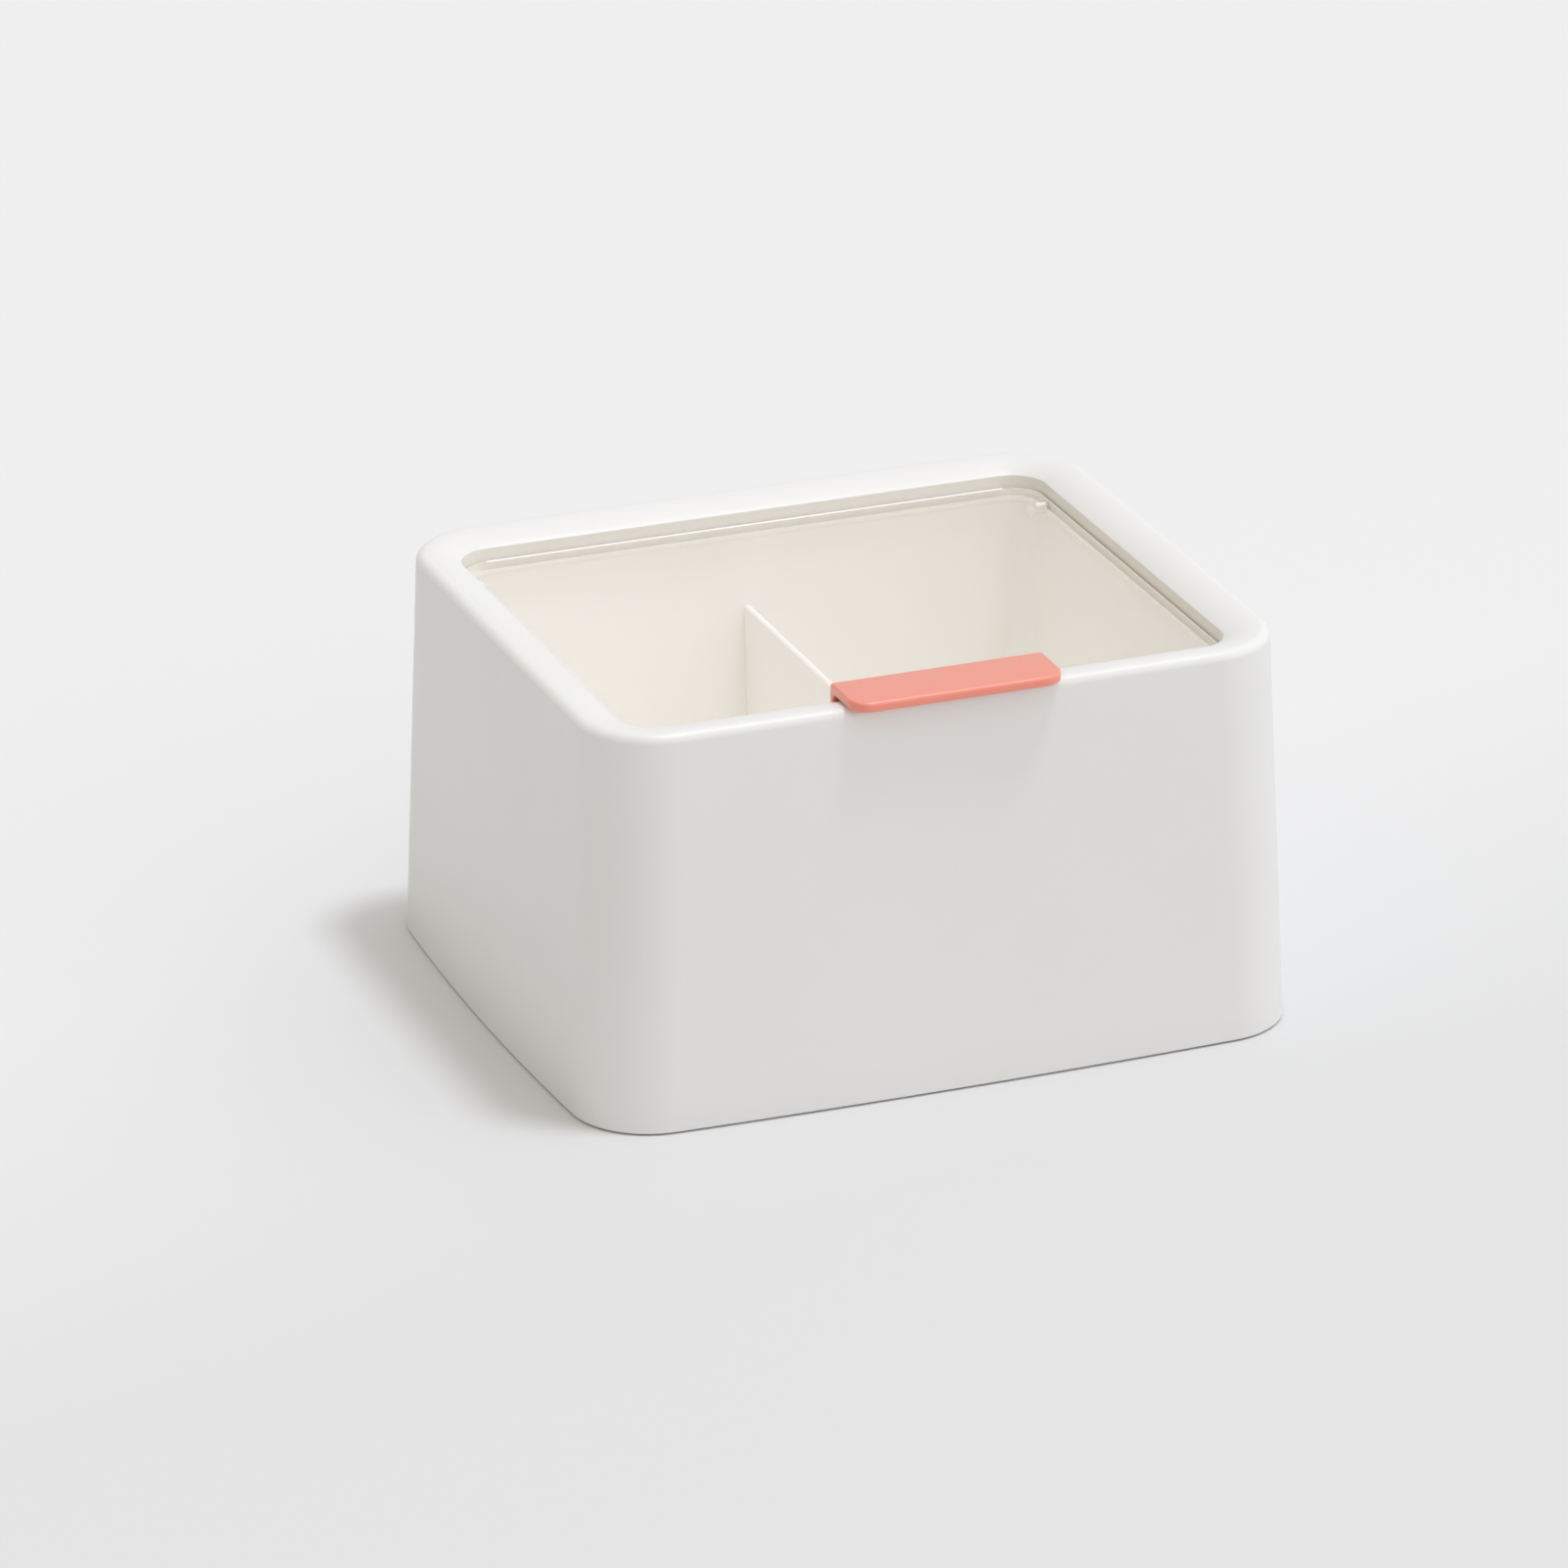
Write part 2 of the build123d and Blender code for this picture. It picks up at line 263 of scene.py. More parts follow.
class SkyBench(Bench):
    """The world's node tree, with the same short ways."""

    def __init__(self, name: str) -> None:
        """Starts a world with one background and puts it in the scene.

        Args:
            name: the world's name.
        """
        world = bpy.data.worlds.new(name)
        world.use_nodes = True
        bpy.context.scene.world = world
        self.tree = world.node_tree
        self.shader = self.tree.nodes["Background"]


@dataclass(frozen=True)
class MouldedPlastic:
    """Satin moulded plastic: faintly cloudy, with fine grain, uneven gloss, some inner glow and, if
    given, painted shade where the mesh marks an edge.
    """

    name: str
    pale: Triple
    deep: Triple
    roughness: Pair = (0.36, 0.44)
    grain_per_m: float = 2600.0
    grain_mm: float = 0.02
    grain_detail: float = 1.0
    grain_strength: float = 0.25
    cloud_per_m: float = 14.0
    cloud_detail: float = 3.0
    gloss_finer: float = 7.0
    gloss_detail: float = 4.0
    glow: float = 0.0
    glow_reach: Triple = (1.0, 0.3, 0.2)
    glow_mm: float = 2.0
    coat: float = 0.0
    coat_roughness: float = 0.35
    ior: float = 1.5
    painted_shade_tone: Triple | None = None

    def material(self) -> bpy.types.Material:
        """Builds the material.

        Returns:
            The material, whose painted shade tone, if it has one, is painted where the mesh marks
            an edge.
        """
        bench = Bench(self.name)
        cloud = bench.spread(bench.noise(self.cloud_per_m, self.cloud_detail), 0.0, 1.0)
        colour = bench.tint(cloud, self.pale, self.deep)
        if self.painted_shade_tone:
            colour = bench.tint(bench.mark(), colour, self.painted_shade_tone)
        bench.feed("Base Color", colour)
        gloss = bench.noise(self.cloud_per_m * self.gloss_finer, self.gloss_detail)
        bench.feed("Roughness", bench.spread(gloss, *self.roughness))
        bench.fix({
            "IOR": self.ior,
            "Coat Weight": self.coat,
            "Coat Roughness": self.coat_roughness,
            "Subsurface Weight": self.glow,
            "Subsurface Radius": self.glow_reach,
            "Subsurface Scale": self.glow_mm * MM,
        })
        grain = bench.noise(self.grain_per_m, self.grain_detail)
        bench.relief(grain, self.grain_strength, self.grain_mm)
        return bench.material


@dataclass(frozen=True)
class ClearPlastic:
    """Polished clear plastic: see-through over the plate, dense on its edges, which carry a painted
    cream reflection, and with a painted highlight where the mesh marks one.
    """

    name: str
    painted_reflection_colour: Triple
    painted_highlight_colour: Triple
    plate_alpha: float
    edge_alpha: float
    haze_per_m: float = 40.0
    haze_detail: float = 5.0
    roughness: Pair = (0.05, 0.11)
    ior: float = 1.49

    def material(self) -> bpy.types.Material:
        """Builds the material.

        Returns:
            The material, which reads from the mesh what is plate, edge with its painted reflection,
            and painted highlight.
        """
        bench = Bench(self.name)
        mark = bench.mark()
        # The edges' colour is a painted reflection of the cream tray; the marked highlight is
        # painted white.
        painted_highlight = bench.spread(mark, 0.0, 1.0, PAINTED_REFLECTION_EDGE_MARK, PAINTED_HIGHLIGHT_MARK)
        bench.feed("Base Color", bench.tint(painted_highlight, self.painted_reflection_colour, self.painted_highlight_colour))
        alpha = bench.spread(mark, self.plate_alpha, self.edge_alpha, 0.0, PAINTED_REFLECTION_EDGE_MARK)
        bench.feed("Alpha", alpha)
        haze = bench.noise(self.haze_per_m, self.haze_detail)
        bench.feed("Roughness", bench.spread(haze, *self.roughness))
        bench.fix({"IOR": self.ior})
        return bench.material


@dataclass(frozen=True)
class PlatedSteel:
    """Zinc-plated steel: fine turning marks and a slightly uneven grey."""

    name: str
    pale: Triple
    deep: Triple
    cloud_per_m: float = 400.0
    cloud_detail: float = 4.0
    gloss_per_m: float = 900.0
    gloss_detail: float = 3.0
    roughness: Pair = (0.24, 0.42)
    turning_per_m: float = 1800.0
    turning_detail: float = 2.0
    turning_stretch: Triple = (1.0, 1.0, 6.0)
    turning_strength: float = 0.3
    turning_mm: float = 0.02

    def material(self) -> bpy.types.Material:
        """Builds the material.

        Returns:
            The material.
        """
        bench = Bench(self.name)
        bench.fix({"Metallic": 1.0})
        cloud = bench.spread(bench.noise(self.cloud_per_m, self.cloud_detail), 0.0, 1.0)
        bench.feed("Base Color", bench.tint(cloud, self.pale, self.deep))
        gloss = bench.noise(self.gloss_per_m, self.gloss_detail)
        bench.feed("Roughness", bench.spread(gloss, *self.roughness))
        marks = bench.noise(self.turning_per_m, self.turning_detail, self.turning_stretch)
        bench.relief(marks, self.turning_strength, self.turning_mm)
        return bench.material


@dataclass(frozen=True)
class Finishes:
    """The finishes of this box, in linear colour."""

    # The shell's edge tone is painted shade: its recess wall is painted a warmer, darker white, as
    # if shaded and lit off the cream tray.
    shell: MouldedPlastic = MouldedPlastic(
        "satin_white", pale=(0.8, 0.795, 0.785), deep=(0.785, 0.778, 0.765),
        painted_shade_tone=(0.805, 0.78, 0.725))
    tray: MouldedPlastic = MouldedPlastic(
        "satin_cream", pale=(0.962, 0.945, 0.918), deep=(0.95, 0.931, 0.902))
    cover: MouldedPlastic = MouldedPlastic(
        "matte_white", pale=(0.76, 0.755, 0.74), deep=(0.73, 0.725, 0.71),
        roughness=(0.5, 0.6), grain_per_m=1500.0, grain_mm=0.05)
    tab: MouldedPlastic = MouldedPlastic(
        "satin_coral", pale=(0.825, 0.29, 0.215), deep=(0.805, 0.275, 0.2),
        roughness=(0.34, 0.42), glow=0.6, coat=0.7)
    pin: MouldedPlastic = MouldedPlastic(
        "natural_acetal", pale=(0.84, 0.83, 0.79), deep=(0.81, 0.80, 0.76), roughness=(0.3, 0.4))
    foot: MouldedPlastic = MouldedPlastic(
        "grey_silicone", pale=(0.50, 0.50, 0.49), deep=(0.46, 0.46, 0.45),
        roughness=(0.6, 0.7), grain_per_m=1200.0, grain_mm=0.05)
    # The lid's edges carry a painted cream reflection of the tray, and its rear top edge a painted
    # white highlight.
    lid: ClearPlastic = ClearPlastic(
        "clear_polished", painted_reflection_colour=(0.975, 0.95, 0.91), painted_highlight_colour=(0.98, 0.975, 0.97),
        plate_alpha=0.06, edge_alpha=0.97)
    screw: PlatedSteel = PlatedSteel(
        "zinc_plate", pale=(0.58, 0.58, 0.59), deep=(0.48, 0.48, 0.49))


@dataclass
class Patch:
    """Points with four-sided faces and a few many-sided caps.

    Attributes:
        points: (N, 3) points in millimetres.
        quads: (Q, 4) point numbers.
        caps: point numbers of each cap.
        edge: (N,) how far each point belongs to an edge, for finishes that read it.
    """

    points: Array
    quads: Array
    caps: list[Array]
    edge: Array

    @classmethod
    def lattice(
        cls, rows: Array, close_rows: bool = False, cap: bool = False, edge: Array | None = None
    ) -> "Patch":
        """Rings of points joined into faces.

        Args:
            rows: (R, M, 3) rings; each is closed, and its points match those of the next ring.
            close_rows: whether the last ring joins the first.
            cap: whether the first and last rings are closed with a face each.
            edge: (R, 1) edge share of each ring, or (R, M) of each point.

        Returns:
            The patch, whose face between rings i and i+1 joins columns j and j+1, all round.
        """
        count, width = rows.shape[:2]
        ring = np.arange(count if close_rows else count - 1)[:, None] * width
        above = (ring + width) % (count * width)
        column = np.arange(width)[None, :]
        after = (column + 1) % width
        quads = np.stack([ring + column, ring + after, above + after, above + column], axis=-1)
        ends = [np.arange(width)[::-1], (count - 1) * width + np.arange(width)]
        share = np.zeros((count, 1)) if edge is None else edge
        marks = np.broadcast_to(share, (count, width)).ravel()
        return cls(rows.reshape(-1, 3), quads.reshape(-1, 4), ends if cap else [], marks)

    @classmethod
    def joined(cls, patches: list["Patch"]) -> "Patch":
        """Several patches as one, each keeping its own points."""
        start = np.cumsum([0] + [len(patch.points) for patch in patches[:-1]])
        return cls(
            np.concatenate([patch.points for patch in patches]),
            np.concatenate([patch.quads + first for patch, first in zip(patches, start)]),
            [cap + first for patch, first in zip(patches, start) for cap in patch.caps],
            np.concatenate([patch.edge for patch in patches]),
        )

    def mesh(self, name: str, crease_deg: float) -> bpy.types.Mesh:
        """Puts the patch into a Blender mesh.

        Args:
            name: the mesh's name.
            crease_deg: edges sharper than this stay sharp in shading.

        Returns:
            A welded mesh in metres, with its faces turned outwards.
        """
        mesh = bpy.data.meshes.new(name)
        corners = np.concatenate([self.quads.ravel(), *self.caps]).astype(np.int32)
        cap_sizes = [len(cap) for cap in self.caps]
        sizes = np.concatenate([np.full(len(self.quads), 4), cap_sizes]).astype(np.int32)
        mesh.vertices.add(len(self.points))
        mesh.vertices.foreach_set("co", (self.points * MM).astype(np.float32).ravel())
        mesh.loops.add(len(corners))
        mesh.loops.foreach_set("vertex_index", corners)
        mesh.polygons.add(len(sizes))
        mesh.polygons.foreach_set("loop_start", (np.cumsum(sizes) - sizes).astype(np.int32))
        mesh.update(calc_edges=True)
        mark = mesh.attributes.new(EDGE, "FLOAT", "POINT")
        mark.data.foreach_set("value", self.edge.astype(np.float32))
        work = bmesh.new()
        work.from_mesh(mesh)
        bmesh.ops.remove_doubles(work, verts=work.verts[:], dist=WELD_M)
        bmesh.ops.dissolve_degenerate(work, edges=work.edges[:], dist=WELD_M)
        bmesh.ops.recalc_face_normals(work, faces=work.faces[:])
        work.to_mesh(mesh)
        work.free()
        mesh.polygons.foreach_set("use_smooth", np.ones(len(mesh.polygons), bool))
        mesh.set_sharp_from_angle(angle=math.radians(crease_deg))
        return mesh


def put_in_scene(name: str, data: bpy.types.ID) -> bpy.types.Object:
    """Makes an object of some data, at the origin, and puts it in the scene.

    Args:
        name: the object's name.
        data: its mesh, light or camera.

    Returns:
        The new object.
    """
    thing = bpy.data.objects.new(name, data)
    bpy.context.scene.collection.objects.link(thing)
    return thing


class Piece(ABC):
    """A piece of the box: a surface that is shown in place of a CAD node.

    Attributes:
        name: the piece's name.
        node: the CAD node it stands for.
        slot: the record's slot for its finish.
        body: the body it rides on.
        crease_deg: edges sharper than this stay sharp in shading.
    """

    name: ClassVar[str]
    node: ClassVar[str]
    slot: ClassVar[Slot]
    body: ClassVar[Body] = Body.CASE
    crease_deg: ClassVar[float] = 35.0

    @abstractmethod
    def surface(self) -> Patch:
        """Works out the piece's closed surface."""

    def build(self, finish: bpy.types.Material) -> bpy.types.Object:
        """Makes the piece, dresses it and ties it to the frame.

        Args:
            finish: its material.

        Returns:
            The new object.
        """
        piece = put_in_scene(self.name, self.surface().mesh(self.name, self.crease_deg))
        piece.data.materials.append(finish)
        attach(piece, self.body.value)
        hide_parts(self.node)
        return piece


def node_box(node: str) -> tuple[Array, Array]:
    """A CAD node's lowest and highest corners, in millimetres."""
    low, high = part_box(node)
    return np.array(low) / MM, np.array(high) / MM


# Each side's direction outwards, and its direction along the box, in the order of Side.
OUT = np.array([[1, 0], [0, 1], [-1, 0], [0, -1]], float)
ALONG = np.array([[0, 1], [-1, 0], [0, -1], [1, 0]], float)


@dataclass(frozen=True)
class Stations:
    """Columns round a four-sided outline, each side followed by the corner after it.

    Attributes:
        quarter: (M,) the column's Side.
        turning: (M,) whether the column is on the corner after that side.
        t: (M,) -1 to 1 along a side, 0 to 1 round a corner.
    """

    quarter: Array
    turning: Array
    t: Array

    @classmethod
    def around(
        cls, side_steps: int, corner_steps: int, front_marks: tuple[float, ...] = ()
    ) -> "Stations":
        """Even columns, with extra ones on the front.

        Args:
            side_steps: columns on each side.
            corner_steps: spans round each corner.
            front_marks: extra places on the front, used on both halves.

        Returns:
            The columns, anticlockwise from above.
        """
        even = np.linspace(-1, 1, side_steps)
        turn = np.linspace(0, 1, corner_steps + 1)[1:-1]
        marks = np.asarray(front_marks, float)
        front = np.sort(np.concatenate([even, marks, -marks]))
        runs = [run for side in (even, even, even, front) for run in (side, turn)]
        counts = [len(run) for run in runs]
        return cls(
            np.repeat(np.repeat(np.arange(len(Side)), 2), counts),
            np.repeat(np.tile([False, True], len(Side)), counts),
            np.concatenate(runs),
        )

    def place(self, out: Array, along: Array) -> Array:
        """Plan points from distances outwards and along each column's own side."""
        return out[:, None] * OUT[self.quarter] + along[:, None] * ALONG[self.quarter]


@dataclass(frozen=True)
class SwelledOutline:
    """Rounded rectangle whose sides are long arcs that bulge outwards by a bow."""

    width: float
    depth: float
    bow_x: float
    bow_y: float
    corner: float

    def inset(self, by: float) -> "SwelledOutline":
        """The same outline, moved inwards everywhere by that much."""
        width, depth = self.width - 2 * by, self.depth - 2 * by
        return replace(self, width=width, depth=depth, corner=self.corner - by)

    def points(self, at: Stations) -> Array:
        """Plan points of the outline.

        A side of half length c and bow s is an arc of radius (c^2 + s^2) / 2s. The corner's centre
        is where circles about the two side arcs' centres, smaller by the corner radius, cross. A
        column on a side is at t times the angle where the side meets the corner; one on a corner is
        at a share t of the turn.

        Args:
            at: the columns.

        Returns:
            (M, 2) points.
        """
        half = np.array([self.width, self.depth]) / 2
        bow = np.array([self.bow_x, self.bow_y])
        radius = (half[::-1] ** 2 + bow**2) / (2 * bow)
        centre = half - radius
        reach = radius - self.corner
        squares = reach[0] ** 2 - reach[1] ** 2 - centre[0] ** 2 + centre[1] ** 2
        offset = squares / (2 * centre[1])
        slope = centre[0] / centre[1]
        middle = centre[0] - offset * slope
        spread = middle**2 - (1 + slope**2) * (centre[0] ** 2 + offset**2 - reach[0] ** 2)
        first = (middle + math.sqrt(spread)) / (1 + slope**2)
        hub = np.array([first, offset + slope * first])
        end = np.arctan2(hub[::-1], hub - centre)
        kin = at.quarter % 2
        side = at.t * end[kin]
        turn = end[kin] + at.t * (np.pi / 2 - end[1 - kin] - end[kin])
        out = np.where(
            at.turning,
            hub[kin] + self.corner * np.cos(turn), centre[kin] + radius[kin] * np.cos(side))
        along = np.where(
            at.turning, hub[1 - kin] + self.corner * np.sin(turn), radius[kin] * np.sin(side))
        return at.place(out, along)


@dataclass(frozen=True)
class RoundedOutline:
    """Rectangle with round corners."""

    half_x: float
    half_y: float
    corner: float

    def points(self, at: Stations, outset: Array | float = 0.0) -> Array:
        """Plan points: straight sides at the half sizes and quarter circles between them.

        Args:
            at: the columns.
            outset: how far each column is moved outwards, corners growing to suit.

        Returns:
            (M, 2) points.
        """
        half = np.array([self.half_x, self.half_y])
        straight = half - self.corner
        kin = at.quarter % 2
        turn = at.t * np.pi / 2
        radius = self.corner + outset
        out = np.where(at.turning, straight[kin] + radius * np.cos(turn), half[kin] + outset)
        along = np.where(
            at.turning, straight[1 - kin] + radius * np.sin(turn), at.t * straight[1 - kin])
        return at.place(out, along)


def level(plan: Array, z: Array | float) -> Array:
    """Plan points lifted to a height, or to one height each."""
    return np.column_stack([plan, np.broadcast_to(z, len(plan))])


def quarter_turn(steps: int) -> Array:
    """Even angles from 0 to a quarter turn."""
    return np.linspace(0, np.pi / 2, steps)


def rounded_polygon(corners: Array, radii: Array, steps: int) -> tuple[Array, Array]:
    """Outline of a polygon with each corner turned on its own radius.

    At a corner the path turns by an angle a; the arc starts radius * tan(a/2) before the corner and
    its centre lies one radius to the side that the path turns to.

    Args:
        corners: (K, 2) corners, anticlockwise.
        radii: (K,) corner radii.
        steps: points on each arc.

    Returns:
        (K * steps, 2) points and their outward normals.
    """
    before = corners - np.roll(corners, 1, axis=0)
    after = np.roll(before, -1, axis=0)
    before = before / np.linalg.norm(before, axis=1, keepdims=True)
    after = after / np.linalg.norm(after, axis=1, keepdims=True)
    cross = before[:, 0] * after[:, 1] - before[:, 1] * after[:, 0]
    turn = np.arctan2(cross, (before * after).sum(1))
    way = np.sign(turn)
    left = np.column_stack([-before[:, 1], before[:, 0]])
    start = corners - before * (radii * np.tan(np.abs(turn) / 2))[:, None]
    centre = start + left * (way * radii)[:, None]
    angle = turn[:, None] * np.linspace(0, 1, steps)[None, :]
    spoke = start - centre
    cos, sin = np.cos(angle), np.sin(angle)
    arm = np.stack([
        cos * spoke[:, :1] - sin * spoke[:, 1:],
        sin * spoke[:, :1] + cos * spoke[:, 1:],
    ], axis=-1)
    normal = arm / np.linalg.norm(arm, axis=-1, keepdims=True) * way[:, None, None]
    return (centre[:, None, :] + arm).reshape(-1, 2), normal.reshape(-1, 2)


def slab(
    outline: Array, normal: Array, ends: Pair, soft: float, edge: float = 0.0, steps: int = 6
) -> Patch:
    """Outline in Y and Z carried along X, with round edges at both ends.

    Over the last stretch of length soft the outline shrinks along its normals by soft less the
    height of a quarter circle.

    Args:
        outline: (M, 2) points.
        normal: (M, 2) their outward normals.
        ends: lowest and highest X.
        soft: radius of the round edges.
        edge: edge share of its points.
        steps: rings on each round edge.

    Returns:
        The closed slab.
    """
    turn = quarter_turn(steps)
    drop = soft * (1 - np.cos(turn))[::-1]
    x = np.concatenate([ends[0] + drop[::-1], ends[1] - drop])
    inset = soft * (1 - np.sin(turn))
    inset = np.concatenate([inset, inset[::-1]])
    plan = outline[None] - normal[None] * inset[:, None, None]
    across = np.broadcast_to(x[:, None, None], plan.shape[:2] + (1,))
    rows = np.concatenate([across, plan], axis=-1)
    return Patch.lattice(rows, cap=True, edge=np.full((len(x), 1), edge))


def soft_block(low: Array, high: Array, soft: float, steps: int = 5) -> Patch:
    """Box with round edges.

    Each direction on a sphere gives a point: the box's corner on that side, drawn in by the edge
    radius, plus the radius times the direction.

    Args:
        low: lowest corner.
        high: highest corner.
        soft: edge radius.
        steps: points on an edge's quarter turn.

    Returns:
        The closed box.
    """
    lat = np.linspace(-np.pi / 2, np.pi / 2, 2 * steps)[:, None]
    lon = ((np.arange(4 * steps) + 0.5) * np.pi / (2 * steps))[None, :]
    ring = np.cos(lat)
    way = np.stack(
        np.broadcast_arrays(ring * np.cos(lon), ring * np.sin(lon), np.sin(lat)), axis=-1)
    side = np.sign(np.stack(np.broadcast_arrays(np.cos(lon), np.sin(lon), lat), axis=-1))
    rows = (low + high) / 2 + side * ((high - low) / 2 - soft) + soft * way
    return Patch.lattice(rows, cap=True)


def turned(radius: Array, height: Array, columns: int) -> Array:
    """Profile carried round the Z axis: its radius times the cosine and sine of even angles.

    Args:
        radius: (R,) the profile's radii.
        height: (R,) its heights.
        columns: points on each ring.

    Returns:
        (R, columns, 3) rings.
    """
    angle = np.linspace(0, 2 * np.pi, columns, endpoint=False)
    reach = radius[:, None]
    return np.stack(
        np.broadcast_arrays(reach * np.cos(angle), reach * np.sin(angle), height[:, None]), axis=-1)


@dataclass(frozen=True)
class Drawing:
    """Sizes that several pieces share."""

    recess: RoundedOutline = RoundedOutline(half_x=76.9, half_y=63.6, corner=9.0)
    lid_gap: float = 0.4
    lid_plate: float = 2.0
    tab_leg: float = 2.0
    tab_gap: float = 0.6
    tray_taper: float = 4.0
    tray_floor: float = 2.0
    floor_round: float = 3.0
    side_columns: int = 25
    corner_columns: int = 16
    rim: float = node_box("outer_shell")[1][2]
    lid_top: float = node_box("lid_panel")[1][2]
    lid_front: float = node_box("lid_panel")[0][1]
    tray_top: float = node_box("inner_tray")[1][2]
    tray_low: float = node_box("inner_tray")[0][2]
    tab_half: float = node_box("lid_tab")[1][0]

    @property
    def lid_low(self) -> float:
        """Height of the lid plate's underside."""
        return self.lid_top - self.lid_plate

    @property
    def floor_top(self) -> float:
        """Height of the tray's floor."""
        return self.tray_low + self.tray_floor

    @property
    def leg_front(self) -> float:
        """Y of the front of the tab's leg."""
        return self.lid_front - self.tab_leg

    def columns(self) -> Stations:
        """Columns round the tray and the lid."""
        return Stations.around(self.side_columns, self.corner_columns)


@dataclass
class Casing(Piece):
    """White outer shell: drafted swelling walls, rolled rim, and the recess for the lid."""

    name = "casing"
    node = "outer_shell"
    slot = Slot.SHELL
    crease_deg = 40.0

    drawing: Drawing
    top: SwelledOutline = SwelledOutline(
        width=176.2, depth=149.6, bow_x=0.4, bow_y=0.4, corner=19.5)
    foot: SwelledOutline = SwelledOutline(
        width=186.4, depth=158.8, bow_x=3.2, bow_y=2.3, corner=20.0)
    lift: float = node_box("outer_shell")[0][2]
    wall: float = 2.6
    foot_soft: float = 0.5
    crown_round: float = 2.4
    lean_deg: float = 2.9
    roll_reach: float = 8.6
    roll_radius: float = 16.0
    rim_edge: float = 0.35
    recess_wall: float = 2.2
    deck_low: float = 92.8
    rest_top: float = 92.3
    rest_half: float = 60.0
    rest_reach: float = 2.0
    notch_backing: float = 1.8
    side_columns: int = 41
    corner_columns: int = 20
    foot_steps: int = 5
    wall_steps: int = 12
    crown_steps: int = 10
    roll_steps: int = 14
    edge_steps: int = 7
    # Rings below the rim's section that belong to the recess wall, which is painted with shade.
    recess_rings: int = 5

    def columns(self) -> Stations:
        """Columns round the casing.

        Returns:
            The columns, doubled where the notch, its backing and the ledge begin.
        """
        straight = self.drawing.recess.half_x - self.drawing.recess.corner
        notch = self.drawing.tab_half + self.drawing.tab_gap
        steps = (notch, notch + self.notch_backing, self.rest_half)
        marks = tuple((step + by) / straight for step in steps for by in (-STEP_MM, STEP_MM))
        return Stations.around(self.side_columns, self.corner_columns, marks)

    def outer_rings(self, at: Stations) -> list[Array]:
        """Rings up the outside: lower edge, straight-ruled wall, rounded upper edge.

        The wall joins matching columns of the foot and top outlines with straight lines. The upper
        edge is a quarter turn, less the wall's lean, whose centre is inside the top outline.

        Args:
            at: the columns.

        Returns:
            The rings, from the floor to the crown.
        """
        rings = []
        for turn in quarter_turn(self.foot_steps)[:-1]:
            inset = self.foot_soft * (1 - math.sin(turn))
            z = self.lift + self.foot_soft * (1 - math.cos(turn))
            rings.append(level(self.foot.inset(inset).points(at), z))
        lean = math.radians(self.lean_deg)
        hub = self.crown_round / math.tan(math.pi / 4 + lean / 2)
        hub_z = self.drawing.rim - self.crown_round
        foot, top = self.foot.points(at), self.top.points(at)
        tall = self.drawing.rim - self.lift
        wall_top = hub_z + self.crown_round * math.sin(lean)
        for z in np.linspace(self.lift + self.foot_soft, wall_top, self.wall_steps):
            rings.append(level(foot + (top - foot) * (z - self.lift) / tall, z))
        for turn in np.linspace(lean, np.pi / 2, self.crown_steps)[1:]:
            inset = hub - self.crown_round * math.cos(turn)
            z = hub_z + self.crown_round * math.sin(turn)
            rings.append(level(self.top.inset(inset).points(at), z))
        return rings

    def rim_profile(self) -> Array:
        """Section of the rim from the crown to the recess wall.

        It is a big arc that falls inwards from the crown, then a small arc that touches it and the
        wall.

        Returns:
            (K, 2) distances out from the recess wall, and heights.
        """
        hub_z = self.drawing.rim - self.roll_radius
        near = self.roll_reach - self.rim_edge
        edge_z = hub_z + math.sqrt((self.roll_radius - self.rim_edge) ** 2 - near**2)
        last = math.atan2(near, edge_z - hub_z)
        fall = np.linspace(0, last, self.roll_steps)
        turn = np.linspace(last, np.pi / 2, self.edge_steps)[1:]
        big = np.column_stack([
            self.roll_reach - self.roll_radius * np.sin(fall),
            hub_z + self.roll_radius * np.cos(fall)])
        small = np.column_stack([
            self.rim_edge - self.rim_edge * np.sin(turn),
            edge_z + self.rim_edge * np.cos(turn)])
        return np.concatenate([big, small])

    def inner_rings(self, at: Stations) -> list[Array]:
        """Rings from the crown over the rolled rim, down the recess and round the hollow.

        Across the tab the rim is cut back to the notch: there a ring's distance out is never less
        than the notch's, and its height is that of the roll at that distance.

        Args:
            at: the columns.

        Returns:
            The rings, from the crown to the inside of the lower edge.
        """
        draw, recess = self.drawing, self.drawing.recess
        front = (at.quarter == Side.FRONT) & ~at.turning
        x = np.abs(np.where(front, at.t * (recess.half_x - recess.corner), np.inf))
        notch_half = draw.tab_half + draw.tab_gap
        notch_reach = draw.tab_gap - draw.leg_front - recess.half_y
        notch = np.where(x < notch_half, notch_reach, 0.0)
        backing = notch_reach + self.notch_backing
        back = np.where(x < notch_half + self.notch_backing, backing, self.recess_wall)
        rest = np.where(x < self.rest_half, -self.rest_reach, 0.0)
        profile = self.rim_profile()
        cut_z = np.interp(notch, profile[::-1, 0], profile[::-1, 1])
        rings = []
        for out, z in profile:
            height = np.where(notch > out, cut_z, z)
            rings.append(level(recess.points(at, np.maximum(out, notch)), height))
        for out, z in (
            (notch, draw.lid_top), (notch, self.rest_top), (0 * notch, self.rest_top),
            (rest, self.rest_top), (rest, draw.tray_top), (back, draw.tray_top),
            (back, self.deck_low),
        ):
            rings.append(level(recess.points(at, out), z))
        rings.append(level(self.top.inset(self.wall).points(at), self.deck_low))
        rings.append(level(self.foot.inset(self.wall).points(at), self.lift))
        return rings

